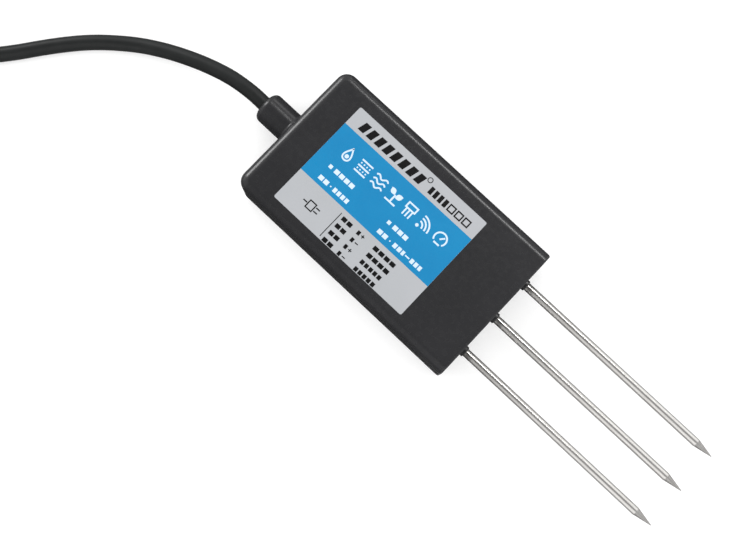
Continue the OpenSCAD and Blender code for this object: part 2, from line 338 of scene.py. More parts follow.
def board_green():
    f = Finish("solder_mask", srgb(24, 92, 48), 0.3, Coat_Weight=0.3, Coat_Roughness=0.15)
    tracks = f.cells((0.55, 0.55, 0.05))
    f.vary_color(tracks, srgb(38, 120, 66), 0.42, 0.5)
    f.vary_roughness(f.noise((1, 1, 1), 3), 0.25, 0.4)
    f.relief(tracks, 0.01)
    return f.material


def packaged(name, color):
    """Moulded epoxy or ceramic of an electronic component."""
    f = Finish(name, color, 0.55)
    f.vary_color(f.noise((3, 3, 3), 4), tuple(c * 1.3 + 0.003 for c in color))
    f.vary_roughness(f.noise((4, 4, 4), 2), 0.48, 0.65)
    f.relief(f.noise((9, 9, 9), 3), 0.006)
    return f.material


def pale_floor():
    f = Finish(
        "pale_floor", (0.84, 0.84, 0.84), 0.7, Specular_IOR_Level=0.2,
        Emission_Color=(1, 1, 1, 1), Emission_Strength=0.2)
    f.vary_color(f.noise((0.004, 0.004, 0.004), 2), (0.83, 0.83, 0.83))
    return f.material


def add_piece(obj, material, slot, *nodes):
    """Dresses obj, lets it ride on the part's body, and lets it stand for CAD nodes."""
    obj.data.materials.clear()
    obj.data.materials.append(material)
    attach(obj, "root")
    if nodes:
        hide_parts(*nodes)
    return obj


# ---------------------------------------------------------------- camera

CAMERA_AT = (0.55, -48, 308)
CAMERA_AIM = (-23.45, -15.3, 7.5)
CAMERA_HEADING = 133.4      # degrees from the X axis to the view's up direction, seen from above
CAMERA_LENS = 52.4


def make_camera():
    data = bpy.data.cameras.new("camera")
    data.lens = CAMERA_LENS
    data.sensor_width = 36
    data.clip_start = 0.01
    data.clip_end = 20
    camera = bpy.data.objects.new("camera", data)
    bpy.context.scene.collection.objects.link(camera)
    place = Vector(CAMERA_AT) * MM
    aim = Vector(CAMERA_AIM) * MM
    heading = math.radians(CAMERA_HEADING)
    ahead = (aim - place).normalized()
    # the view's up direction, with that heading seen from above
    flat = Vector((math.cos(heading), math.sin(heading), 0))
    up = (flat - Vector((0, 0, 1)) * (flat.dot(ahead) / ahead.z)).normalized()
    right = ahead.cross(up)
    turned = Matrix((right, up, -ahead)).transposed().to_4x4()
    camera.matrix_world = Matrix.Translation(place) @ turned
    bpy.context.scene.camera = camera


# ---------------------------------------------------------------- cable

ROUTE = [
    (X_BOSS, 0, Z_MID), (-84.5, 0, Z_MID), (-91.5, -0.7, 7), (-98.5, -2.3, 6), (-105.5, -4.6, 4.8),
    (-112.6, -7.6, 3.6), (-119.3, -11.3, 2.7), (-125.3, -15.7, 2.3), (-130.8, -20.7, 2.3),
    (-135.7, -26.2, 2.3), (-140.2, -32, 2.3), (-144.5, -37.9, 2.3), (-149.2, -43.6, 2.3),
    (-154.4, -48.9, 2.3), (-160.3, -53.7, 2.4), (-166.7, -57.8, 2.6), (-173.7, -61.3, 2.8),
    (-181.1, -64.1, 3), (-190, -66.2, 3.05),
]
COIL_X, COIL_Y = -200.5, -32
COIL_IN_R = 18.2        # innermost turn
TURN_GAP = 4.55         # from one turn to the next, across and up
LAYER_TURNS = 3.7
COIL_OUT_R = COIL_IN_R + LAYER_TURNS * TURN_GAP
COIL_Z = 3.05           # middle of the lowest layer
SHELF_R = 20.5          # the last stretch of the jacket
COIL_END = 10.736       # turns to the jacket's end
CLIMB = 0.5             # turns over which the cable climbs a layer
COIL_STEPS = 24         # points in a turn


def ease(t):
    return (1 - math.cos(math.pi * min(max(t, 0), 1))) / 2


def mix(a, b, t):
    return a + (b - a) * t


def coil_point(s):
    """The cable's middle s turns after the coil's start, clockwise seen from above."""
    layer = min(int(s / LAYER_TURNS), 2)
    along = s - layer * LAYER_TURNS
    if layer == 1:
        r = COIL_IN_R + TURN_GAP * along
    else:
        r = COIL_OUT_R - TURN_GAP * along
    if layer == 2:
        r = max(SHELF_R, r)
    z = COIL_Z + TURN_GAP * sum(
        ease((s - (k * LAYER_TURNS - CLIMB)) / CLIMB) for k in (1, 2))
    angle = -TURN * (0.25 + s)
    return Vector((COIL_X + r * math.cos(angle), COIL_Y + r * math.sin(angle), z))


def curve_through(points, steps):
    """Points on a smooth curve through the given ones (Catmull-Rom)."""
    found = []
    last = len(points) - 1
    for i in range(last):
        a, b = points[max(i - 1, 0)], points[i]
        c, d = points[i + 1], points[min(i + 2, last)]
        for k in range(steps):
            t = k / steps
            found.append(0.5 * (
                2 * b + (c - a) * t + (2 * a - 5 * b + 4 * c - d) * t ** 2
                + (3 * b - a - 3 * c + d) * t ** 3))
    return found + [points[-1]]


def cable_path():
    turns = int(COIL_END * COIL_STEPS)
    coil = [coil_point(k / COIL_STEPS) for k in range(turns + 1)] + [coil_point(COIL_END)]
    return curve_through([Vector(p) for p in ROUTE] + coil, 4)


def round_curve(name, path, radius_mm, resolution=6):
    """A round bar along path, in mm, as a curve of one open spline."""
    data = bpy.data.curves.new(name, "CURVE")
    data.dimensions = "3D"
    data.bevel_depth = radius_mm * MM
    data.bevel_resolution = resolution
    data.use_fill_caps = True
    spline = data.splines.new("POLY")
    spline.points.add(len(path) - 1)
    for point, place in zip(spline.points, path):
        point.co = (*(place * MM), 1)
    spline.use_smooth = True
    obj = bpy.data.objects.new(name, data)
    bpy.context.scene.collection.objects.link(obj)
    return obj


CORE_SIDE = ((-1, 1), (-1, -1), (1, 1), (1, -1))
CORE_SPREAD = 0.85
CORE_R = 0.6
TINNED_R = 0.4
LEAD_R = 19.4
LEAD_FAN = 1.5          # from one core to the next, once they have settled
SETTLE = 2.2            # the cores settle over 1 / SETTLE of their length
LEAD_L = 40             # core and tinned wire together
LEAD_SHARE = 0.85       # of that, with insulation
JACKET_END = 5          # degrees round the coil
SHELF_Z = COIL_Z + 2 * TURN_GAP - CABLE_R - 0.05
WIRES = ("red", "green", "blue", "yellow")


def lead_point(i, t):
    """Wire i, from the jacket's end at t = 0 to its bare tip at t = 1."""
    settle = ease(t * SETTLE)
    angle = math.radians(JACKET_END) - t * LEAD_L / LEAD_R
    r = mix(SHELF_R + CORE_SIDE[i][0] * CORE_SPREAD, LEAD_R + (i - 1.5) * LEAD_FAN, settle)
    z = mix(COIL_Z + 2 * TURN_GAP + CORE_SIDE[i][1] * CORE_SPREAD, SHELF_Z + CORE_R, settle)
    return Vector((COIL_X + r * math.cos(angle), COIL_Y + r * math.sin(angle), z))


def make_lead(i, material):
    steps = 40
    path = [lead_point(i, LEAD_SHARE * k / steps) for k in range(steps + 1)]
    obj = round_curve("wire_" + WIRES[i], path, CORE_R, 5)
    return add_piece(obj, material, "core_" + WIRES[i], "lead_" + WIRES[i])


STRANDS = 7
STRAND_TWIST = 1.6      # turns along the bare end
STRAND_GROOVE = 0.16    # the grooves' depth, as a share of the rope's radius
TINNED_TIP = 0.06       # share of the bare end that its tip rounds off over


def make_tinned(i, material):
    """The bare strands, twisted and tinned into one rope with a rounded tip."""
    steps, sides = 36, 42
    start = LEAD_SHARE - 0.01
    path = [lead_point(i, mix(start, 1, k / steps)) for k in range(steps + 1)]

    def ring(k):
        left = (steps - k) / steps
        tip = math.sqrt(max(1 - (1 - min(left / TINNED_TIP, 1)) ** 2, 0.08))
        found = []
        for j in range(sides):
            a = TURN * j / sides
            lobe = abs(math.sin(STRANDS / 2 * (a + STRAND_TWIST * TURN * k / steps)))
            r = TINNED_R * (1 - STRAND_GROOVE + STRAND_GROOVE * lobe) * tip
            found.append((r * math.cos(a), r * math.sin(a)))
        return found

    obj = tube("tinned_end_" + WIRES[i], path, ring)
    return add_piece(obj, material, "tinned_wire", "tinned_" + WIRES[i])


def hull(points):
    """The convex outline of 2D points, anticlockwise."""
    points = sorted(points)

    def half(order):
        found = []
        for p in order:
            while len(found) > 1:
                (ax, ay), (bx, by) = found[-2], found[-1]
                if (bx - ax) * (p[1] - ay) - (by - ay) * (p[0] - ax) > 1e-9:
                    break
                found.pop()
            found.append(p)
        return found[:-1]

    return half(points) + half(points[::-1])


TIE_T = 0.8
TIE_W = 3.0
TIE_SOFT = 0.18         # rounding of the strap's edges
TIE_LIFT = 0.02         # from the cable to the strap
RIB_HALF = 0.6          # half of the ribbed middle's width
RIB_DEPTH = 0.07
HEAD_OUTLINE = (0, 1.45, 2.2)        # (middle, half depth, half width), seen along the strap
HEAD_WINDOW = (0.55, 0.475, 1.6)
# from the window's edge to the head's side: (how far the ring stands out, its height, its outline)
HEAD_RINGS = (
    (0, 2.05, HEAD_WINDOW), (0.05, 2.1, HEAD_WINDOW), (-0.22, 2.1, HEAD_OUTLINE),
    (-0.06, 2.04, HEAD_OUTLINE), (0, 1.88, HEAD_OUTLINE))


def turns_at(angle_deg):
    """(distance from the coil's middle, height) of each turn that crosses that direction."""
    first = (-0.25 - angle_deg / 360) % 1
    found = []
    s = first
    while s < COIL_END:
        p = coil_point(s)
        found.append((math.hypot(p.x - COIL_X, p.y - COIL_Y), p.z))
        s += 1
    return found


def even_loop(loop, gap):
    """A closed loop with points about gap apart."""
    found = []
    for (ax, ay), (bx, by) in zip(loop, loop[1:] + loop[:1]):
        steps = max(1, round(math.hypot(bx - ax, by - ay) / gap))
        for k in range(steps):
            found.append((mix(ax, bx, k / steps), mix(ay, by, k / steps)))
    return found


def make_tie(name, node, angle_deg, material):
    """A ribbed strap drawn tight round the turns. Also gives its distance out at the head's height."""
    around = []
    for r, z in turns_at(angle_deg):
        around += arc(r, z, CABLE_R, 0, 360, 40)[:-1]
    loop = even_loop(hull(around), 0.5)
    angle = math.radians(angle_deg)
    out = Vector((math.cos(angle), math.sin(angle), 0))
    aside = Vector((-math.sin(angle), math.cos(angle), 0))
    centre = Vector((COIL_X, COIL_Y, 0))
    half = TIE_W / 2
    flat = half - TIE_SOFT
    groove = TIE_T - 2 * RIB_DEPTH
    right = [
        (flat, TIE_LIFT), (half, TIE_SOFT + TIE_LIFT), (half, TIE_T - TIE_SOFT), (flat, TIE_T),
        (RIB_HALF + 0.15, TIE_T), (RIB_HALF, groove),
    ]
    section = [(-flat, TIE_LIFT), *right, *((-across, lift) for across, lift in right[:0:-1])]
    bm = bmesh.new()
    rows = []
    count = len(loop)
    for i, (r, z) in enumerate(loop):
        ar, az = loop[i - 1]
        br, bz = loop[(i + 1) % count]
        length = math.hypot(br - ar, bz - az)
        nr, nz = (bz - az) / length, (ar - br) / length
        rows.append([])
        for across, lift in section:
            rib = RIB_DEPTH if i % 2 and abs(across) <= RIB_HALF else 0
            place = centre + out * (r + nr * (lift - rib)) + Vector((0, 0, z + nz * (lift - rib)))
            rows[-1].append(bm.verts.new(place + aside * across))
    face_strips(bm, rows, closed_rows=True, closed_columns=True)
    strap = finish_mesh(name, bm, 40)
    add_piece(strap, material, "tie", node)
    return strap, max(r for r, z in loop if abs(z - Z_MID) < 0.5)


def rounded_block(name, centre, axes, size, soft):
    """A block with rounded edges, its size given along the three axes."""
    bm = bmesh.new()
    bmesh.ops.create_cube(bm, size=1)
    for v in bm.verts:
        v.co = centre + sum((axes[k] * v.co[k] * size[k] for k in range(3)), Vector())
    bmesh.ops.bevel(bm, geom=bm.edges, offset=soft, segments=3, profile=0.5, affect="EDGES")
    return finish_mesh(name, bm, 30)


def make_tie_head(name, angle_deg, reach, material):
    """The strap's ratchet head, with a window for the strap and the cut end standing out of it."""
    angle = math.radians(angle_deg)
    out = Vector((math.cos(angle), math.sin(angle), 0))
    aside = Vector((-math.sin(angle), math.cos(angle), 0))
    up = Vector((0, 0, 1))
    centre = Vector((COIL_X, COIL_Y, 0)) + out * (reach + TIE_T + 1.3) + up * Z_MID
    bm = bmesh.new()
    rows = []
    below = [(grow, -lift, shape) for grow, lift, shape in reversed(HEAD_RINGS)]
    for grow, lift, (middle, half_depth, half_width) in (*HEAD_RINGS, *below):
        deep, wide = half_depth + grow, half_width + grow
        ring = rounded_outline(middle - deep, -wide, middle + deep, wide, 0.3 + grow)
        rows.append([bm.verts.new(centre + out * u + aside * v + up * lift) for u, v in ring])
    face_strips(bm, rows, closed_rows=True, closed_columns=True)
    head = finish_mesh(name, bm, 40)
    end = rounded_block(
        name + "_end", centre + out * HEAD_WINDOW[0] + up * 0.9, (out, aside, up), (0.7, 2.8, 5.4), 0.15)
    for obj in (head, end):
        add_piece(obj, material, "tie")
    return head, end


def make_cable():
    jacket = cable_jacket()
    cable = round_curve("cable", cable_path(), CABLE_R, 7)
    add_piece(cable, jacket, "jacket", "cable_tube", "cable_coil", "cable_tail")
    colors = {
        "red": srgb(168, 26, 20), "green": srgb(24, 108, 48),
        "blue": srgb(24, 62, 150), "yellow": srgb(222, 182, 26),
    }
    on_it = []
    tin = solder("tinned_copper", (0.66, 0.66, 0.66))
    for i, wire in enumerate(WIRES):
        on_it.append(make_lead(i, rubber("insulation_" + wire, colors[wire], 0.35)))
        on_it.append(make_tinned(i, tin))
    nylon = rubber("tie_nylon", srgb(24, 24, 26), 0.38)
    for letter, angle in (("a", 40), ("b", 220)):
        strap, reach = make_tie("tie_strap_" + letter, "coil_tie_" + letter, angle, nylon)
        on_it += [strap, *make_tie_head("tie_head_" + letter, angle, reach, nylon)]
    return jacket


# ---------------------------------------------------------------- housing

def edge_profile(inset):
    """(draw-in, height) from the underside's flat to the top's, for a section drawn in by inset."""
    r = EDGE_R - inset
    steps = 10
    low = [(EDGE_R - px, EDGE_R - py) for px, py in arc(0, 0, r, 90, 0, steps)]
    high = [(EDGE_R - px, Z_TOP - EDGE_R + py) for px, py in arc(0, 0, r, 0, 90, steps)]
    flat = EDGE_R + 0.3
    return [(flat, inset), *low, *high, (flat, Z_TOP - inset)]


def housing_row(k):
    """Level k of the housing's outer face, from the open end round the cable end and back."""
    half = []
    for back, inset in LIP_PROFILE:
        draw, z = edge_profile(inset)[k]
        half.append((X_OPEN - back, HALF_W - draw, z))
    draw, z = edge_profile(0)[k]
    r = CORNER_R - draw
    for x, y in arc(X_BACK + CORNER_R, HALF_W - CORNER_R, r, 90, 180, 14):
        half.append((x, y, z))
    return half + [(x, -y, z) for x, y, z in half[::-1]]


def housing_block():
    bm = bmesh.new()
    levels = range(len(edge_profile(0)))
    rows = [[bm.verts.new(p) for p in housing_row(k)] for k in levels]
    face_strips(bm, rows)
    wide = len(rows[0])
    for row in (rows[0], rows[-1]):
        for j in range(wide // 2 - 1):
            bm.faces.new((row[j], row[j + 1], row[wide - 2 - j], row[wide - 1 - j]))
    for a, b in zip(rows, rows[1:]):
        bm.faces.new((a[0], a[-1], b[-1], b[0]))
    return finish_mesh("housing", bm)


def boss_profile():
    """The boss from its rounded rim to the fillet at its root, inside the wall at its end."""
    rim = arc(X_BOSS + BOSS_RIM_R, BOSS_R - BOSS_RIM_R, BOSS_RIM_R, 180, 90, 12)
    root = arc(X_BACK - BOSS_ROOT_R, BOSS_R + BOSS_ROOT_R, BOSS_ROOT_R, 270, 360, 8)
    inside = X_BACK + WALL / 2
    return [(X_BOSS, 0), *rim, *root, (inside, root[-1][1]), (inside, 0)]


def make_housing():
    shell = housing_block()
    boss = lathe("boss", boss_profile(), 0, Z_MID, 96)
    boolean(shell, boss, "UNION")
    x_in = X_BACK + WALL
    long = X_OPEN - x_in + 1
    axes = (Vector((1, 0, 0)), Vector((0, 1, 0)), Vector((0, 0, 1)))
    room = rounded_block(
        "room", Vector((x_in + long / 2, 0, Z_MID)), axes,
        (long, 2 * (HALF_W - WALL), Z_TOP - 2 * WALL), 0.4)
    boolean(shell, room, "DIFFERENCE")
    bore_r = GROMMET_HIGH.y
    bore = lathe(
        "bore", [(X_BOSS - 1, 0), (X_BOSS - 1, bore_r), (x_in + 1, bore_r), (x_in + 1, 0)], 0, Z_MID, 96)
    boolean(shell, bore, "DIFFERENCE")
    shell.data.shade_smooth()
    shell.data.set_sharp_from_angle(angle=math.radians(32))
    even = shell.modifiers.new("even", "WEIGHTED_NORMAL")
    even.keep_sharp = True
    even.weight = 100
    apply_modifiers(shell)
    return add_piece(shell, moulded_plastic(), "housing", "housing_shell")


def make_grommet():
    """The soft lining of the boss, with a rounded lip round the cable."""
    outer = GROMMET_HIGH.y - 0.01
    inner = CABLE_R + 0.02
    lip = 0.26
    profile = [
        *arc(X_BOSS + lip + 0.05, outer - lip, lip, 90, 180, 6),
        *arc(X_BOSS + lip + 0.05, inner + lip, lip, 180, 270, 6),
        (GROMMET_HIGH.x, inner), (GROMMET_HIGH.x, outer),
    ]
    obj = lathe("grommet", profile, 0, Z_MID, 96, closed=True)
    return add_piece(obj, rubber("grommet_rubber", srgb(34, 35, 37), 0.36), "grommet", "cable_grommet")


# ---------------------------------------------------------------- probes and resin

PROBE_R = 1.25
ROOT_R = 1.05
TIP_L = 5.8
SLEEVE_R = 1.65
SHOULDER_R = 0.12       # rounding where the root widens to the rod
CONE_R = 0.09           # how far the rod has narrowed where the cone's straight flank starts
CONE_ROUND = (-0.25, 0.45)      # the round's reach, back and on from the cone's start
POINT_R = 0.11
SIDES = ("left", "centre", "right")


def make_probe(side, metal):
    low, high = box_mm("probe_" + side)
    y = (low.y + high.y) / 2
    shoulder = box_mm("sleeve_" + side)[1].x
    cone = high.x - TIP_L
    profile = [(low.x, 0), (low.x, ROOT_R - 0.1), (low.x + 0.1, ROOT_R), (shoulder, ROOT_R)]
    profile += arc(shoulder + SHOULDER_R, PROBE_R - SHOULDER_R, SHOULDER_R, 180, 90, 3)
    back, on = CONE_ROUND
    count = 24
    for k in range(1, count):
        profile.append((mix(shoulder + SHOULDER_R, cone + back, k / count), PROBE_R))
    # the cone starts with a slight round and ends in a blunted point
    for k in range(7):
        t = k / 6
        profile.append((cone + mix(back, on, t), PROBE_R - CONE_R * t * t))
    for k in range(1, 9):
        t = k / 8
        profile.append((mix(cone + on, high.x - 0.1, t), mix(PROBE_R - CONE_R, POINT_R, t)))
    profile += [(high.x - 0.03, 0.075), (high.x, 0)]
    obj = lathe("probe_rod_" + side, profile, y, Z_MID, 64)
    return add_piece(obj, metal, "probe_steel", "probe_" + side)


def make_sleeve(side, material):
    low, high = box_mm("sleeve_" + side)
    y = (low.y + high.y) / 2
    soft = 0.22
    profile = [
        (low.x, SLEEVE_R), (high.x - soft, SLEEVE_R),
        *arc(high.x - soft, SLEEVE_R - soft, soft, 90, 0, 5),
        (high.x, ROOT_R + 0.08), (high.x - 0.08, ROOT_R + 0.01), (low.x, ROOT_R + 0.01),
    ]
    obj = lathe("probe_sleeve_" + side, profile, y, Z_MID, 64, closed=True)
    return add_piece(obj, material, "sleeve", "sleeve_" + side)


CREEP = (0.36, 0.55)        # height of the creep up the walls, and how fast it fades with distance
SLEEVE_CREEP = (0.3, 0.5)
CREEP_MAX = 0.4
RESIN_WAVE = 0.035


def make_resin_face(material):
    """The cured face of the resin, creeping up the walls and the sleeves."""
    low_y, high_y = RESIN_LOW.y, RESIN_HIGH.y
    low_z, high_z = RESIN_LOW.z, RESIN_HIGH.z
    columns, lines = 164, 44
    sleeves = [sum(box_mm("sleeve_" + s), Vector()) / 2 for s in SIDES]
    bm = bmesh.new()
    rows = []
    for i in range(columns + 1):
        y = mix(low_y, high_y, i / columns)
        rows.append([])
        for j in range(lines + 1):
            z = mix(low_z, high_z, j / lines)
            edge = min(y - low_y, high_y - y, z - low_z, high_z - z)
            rise = CREEP[0] * math.exp(-edge / CREEP[1])
            for s in sleeves:
                away = max(math.hypot(y - s.y, z - s.z) - SLEEVE_R, 0)
                rise += SLEEVE_CREEP[0] * math.exp(-away / SLEEVE_CREEP[1])
            wave = RESIN_WAVE * noise.noise(Vector((y * 0.22, z * 0.3, 3)))
            rows[-1].append(bm.verts.new((RESIN_HIGH.x + 0.05 + min(rise, CREEP_MAX) + wave, y, z)))
    face_strips(bm, rows)
    back = RESIN_HIGH.x - 0.1
    rim = [row[0] for row in rows] + rows[-1][1:] + [row[-1] for row in rows[-2::-1]] + rows[0][-2:0:-1]
    foot = [bm.verts.new((back, v.co.y, v.co.z)) for v in rim]
    count = len(rim)
    for k in range(count):
        n = (k + 1) % count
        bm.faces.new((rim[k], rim[n], foot[n], foot[k]))
    bm.faces.new(foot)
    return add_piece(finish_mesh("resin_face", bm, 50), material, "resin")


# ---------------------------------------------------------------- label

FILM_T = 0.12
INK_T = 0.014
LINE_W = 0.48           # the pictograms' lines
WHITE_H = 1.35          # height of a block of small print, white and black
BLACK_H = 1.3
BAND_TOP, BAND_FOOT = 6.3, 24.2
ICON_U, ICON_STEP, ICON_V = 6.9, 5.78, 12.2     # first pictogram, to the next one, and their row
TABLE_V, TABLE_STEP = 26.4, 2.6                 # first wiring row, and to the next one


def on_label(u, v):
    """A place on the label, u mm from its left edge and v mm below its top edge."""
    return LABEL_LOW.x + u, LABEL_HIGH.y - v


def plate(name, shapes, z0, z1):
    """Flat shapes, each (points, faces), as thin closed plates from z0 to z1."""
    bm = bmesh.new()
    for points, faces in shapes:
        top = [bm.verts.new((x, y, z1)) for x, y in points]
        foot = [bm.verts.new((x, y, z0)) for x, y in points]
        rim = set()
        for face in faces:
            bm.faces.new([top[k] for k in face])
            bm.faces.new([foot[k] for k in face[::-1]])
            for a, b in zip(face, face[1:] + face[:1]):
                if (b, a) in rim:
                    rim.remove((b, a))
                else:
                    rim.add((a, b))
        for a, b in sorted(rim):
            bm.faces.new((top[b], top[a], foot[a], foot[b]))
    return finish_mesh(name, bm, 20)


def outline(points):
    """One closed outline as a shape."""
    return points, [list(range(len(points)))]


def bar(u, v, width, height, slant=0.0):
    """A block centred at (u, v) on the label, its top leaning right by slant."""
    x, y = on_label(u, v)
    w, h = width / 2, height / 2
    return outline([
        (x - w - slant / 2, y - h), (x + w - slant / 2, y - h),
        (x + w + slant / 2, y + h), (x - w + slant / 2, y + h)])


def stroke(points, width, closed=False):
    """A line of that width along points, with mitred corners."""
    places = [Vector(p) for p in points]
    count = len(places)
    left, right = [], []
    for i, place in enumerate(places):
        ahead = places[(i + 1) % count] - place
        behind = place - places[i - 1]
        if not closed and i == 0:
            behind = ahead
        if not closed and i == count - 1:
            ahead = behind
        course = ahead.normalized() + behind.normalized()
        reach = min(width / course.length, 0.72 * width)
        side = Vector((-course.y, course.x)).normalized() * reach
        left.append(tuple(place + side))
        right.append(tuple(place - side))
    faces = []
    for i in range(count if closed else count - 1):
        n = (i + 1) % count
        faces.append([i, i + count, n + count, n])
    return left + right, faces


def circle(u, v, r, width=None, start=0, end=360, steps=32):
    """A disc, or with width a ring or an arc of one, centred at (u, v) on the label."""
    x, y = on_label(u, v)
    whole = end - start == 360
    points = arc(x, y, r, start, end, steps)
    if whole:
        points = points[:-1]
    return outline(points) if width is None else stroke(points, width, whole)


def polyline(u, v, offsets, width, closed=False):
    """A line through (right, up) offsets from (u, v) on the label."""
    x, y = on_label(u, v)
    return stroke([(x + a, y + b) for a, b in offsets], width, closed)


def drop_offsets(size):
    """A water drop, point up."""
    found = []
    for k in range(36):
        a = TURN * k / 36
        pinch = math.sin(a / 2) ** 1.6
        found.append((0.42 * size * math.sin(a) * pinch, size * (0.5 * math.cos(a) + 0.02)))
    return found


def wave_offsets(width, height):
    return [(mix(-width / 2, width / 2, k / 20), height * math.sin(TURN * 1.5 * k / 20)) for k in range(21)]


def leaf_offsets(dx, dy):
    """A leaf from (0, 0) to (dx, dy)."""
    found = []
    for side in (1, -1):
        for k in range(8):
            t = k / 8 if side > 0 else 1 - k / 8
            bulge = 0.34 * math.sin(math.pi * t) * side
            found.append((dx * t - dy * bulge, dy * t + dx * bulge))
    return found


def icon_drop(u, v):
    return [polyline(u, v, drop_offsets(4.1), LINE_W, True), circle(u, v + 0.75, 0.62)]


def icon_layers(u, v):
    shapes = [bar(u, v - 1.75, 4.0, 0.5), bar(u, v + 1.85, 4.0, 0.5), bar(u, v + 0.1, 4.0, 0.5)]
    for k in range(4):
        shapes.append(circle(u - 1.5 + k, v - 0.82, 0.24, steps=12))
        shapes.append(circle(u - 1.5 + k, v + 0.98, 0.24, steps=12))
    return shapes


def icon_wave(u, v):
    return [polyline(u, v + d, wave_offsets(4.2, 0.42), LINE_W) for d in (-1.45, 0, 1.45)]


def icon_sprout(u, v):
    return [
        bar(u, v + 0.55, 0.5, 2.3),
        bar(u, v + 1.95, 3.8, 0.5),
        outline_at(u + 0.27, v + 0.1, leaf_offsets(1.9, 1.6)),
        outline_at(u - 0.27, v - 0.4, leaf_offsets(-1.9, 1.4)),
    ]


def icon_probe(u, v):
    shapes = [polyline(u, v - 1.1, [(-1.6, -0.8), (1.6, -0.8), (1.6, 0.8), (-1.6, 0.8)], LINE_W, True)]
    for d in (-1.05, 0, 1.05):
        shapes.append(bar(u + d, v + 1.0, 0.46, 2.12))
    return shapes


def icon_signal(u, v):
    x_shift = -1.6
    shapes = [circle(u + x_shift, v + 1.5, 0.5, steps=20)]
    for r in (1.5, 2.5, 3.5):
        shapes.append(circle(u + x_shift, v + 1.5, r, LINE_W, 0, 90, 16))
    return shapes


def icon_gauge(u, v):
    return [
        circle(u, v, 1.9, LINE_W, -40, 220, 30),
        polyline(u, v, [(-0.1, -0.15), (0.95, 1.05)], 0.46),
        bar(u, v + 1.65, 2.0, 0.5),
    ]


def outline_at(u, v, offsets):
    x, y = on_label(u, v)
    return outline([(x + a, y + b) for a, b in offsets])


def plus(u, v):
    """A plus sign as one outline."""
    near, far = 0.15, 0.55
    quarter = [(far, -near), (far, near), (near, near)]
    found = []
    for k in range(4):
        turn = Matrix.Rotation(k * TURN / 4, 2)
        found += [tuple(turn @ Vector(p)) for p in quarter]
    return outline_at(u, v, found)


def word_row(u, v, widths, height, gap=0.36):
    """A row of blocks where a line of small print would be."""
    shapes = []
    for width in widths:
        shapes.append(bar(u + width / 2, v, width, height))
        u += width + gap
    return shapes


def label_white():
    """Pictograms and rows of white print on the blue band."""
    icons = (icon_drop, icon_layers, icon_wave, icon_sprout, icon_probe, icon_signal, icon_gauge)
    shapes = []
    for k, icon in enumerate(icons):
        shapes += icon(ICON_U + ICON_STEP * k, ICON_V)
    shapes.append(bar(5.7, 18.1, 1.1, 1.1))
    shapes += word_row(7.3, 18.1, (1.5, 1.5, 1.5, 1.5), WHITE_H)
    shapes += word_row(5.2, 22.2, (1.5, 1.5), WHITE_H)
    shapes.append(bar(9.55, 22.2, 0.4, 0.4))
    shapes += word_row(10.6, 22.2, (1.1, 1.1, 1.1, 1.1), WHITE_H)
    shapes.append(bar(28.2, 18.5, 1.1, 1.1))
    shapes += word_row(29.8, 18.5, (1.5, 1.5, 1.5), WHITE_H)
    shapes += word_row(27.4, 22.1, (1.5, 1.5), WHITE_H)
    shapes.append(bar(31.9, 22.1, 0.4, 0.4))
    shapes += word_row(33.2, 22.1, (1.2, 1.2, 0.9), WHITE_H)
    shapes.append(bar(38.4, 22.1, 1.5, 0.4))
    shapes += word_row(39.6, 22.1, (1.1, 1.1, 1.0), WHITE_H)
    return shapes


def label_black():
    """The level bars, the ring, the rule and the wiring rows of black print."""
    shapes = []
    for k in range(8):
        shapes.append(bar(5.0 + 3.0 * k, 3.6, 2.05, 3.0, 0.75))
    shapes.append(circle(28.4, 1.9, 0.72, 0.24))
    for k in range(4):
        shapes.append(bar(30.6 + 1.75 * k, 3.9, 1.2, 2.3))
    for k in range(3):
        shapes.append(polyline(
            38.2 + 2.75 * k, 3.9, [(-0.95, -0.95), (0.95, -0.95), (0.95, 0.95), (-0.95, 0.95)], 0.42, True))
    # a plug with two pins and its lead
    shapes.append(polyline(9.3, 29.9, [(-1.1, -1.2), (1.1, -1.2), (1.1, 1.2), (-1.1, 1.2)], 0.36, True))
    shapes.append(bar(11.5, 29.3, 1.4, 0.36))
    shapes.append(bar(11.5, 30.5, 1.4, 0.36))
    shapes.append(bar(7.2, 29.9, 1.4, 0.36))
    shapes.append(bar(16.9, 29.9, 0.24, 8.8))
    for k, sign in enumerate("+-+-"):
        v = TABLE_V + TABLE_STEP * k
        shapes += word_row(17.9, v, (1.6, 1.6), BLACK_H)
        shapes += word_row(23.6, v, (1.0,), BLACK_H)
        shapes.append(plus(25.7, v) if sign == "+" else bar(25.7, v, 1.1, 0.3))
        shapes += word_row(29.8, v, ((1.7, 1.7, 1.7, 1.7), (1.2,) * 5)[k // 2], BLACK_H)
    return shapes


def rounded_outline(x0, y0, x1, y1, r):
    return (
        arc(x1 - r, y1 - r, r, 0, 90, 6) + arc(x0 + r, y1 - r, r, 90, 180, 6)
        + arc(x0 + r, y0 + r, r, 180, 270, 6) + arc(x1 - r, y0 + r, r, 270, 360, 6))


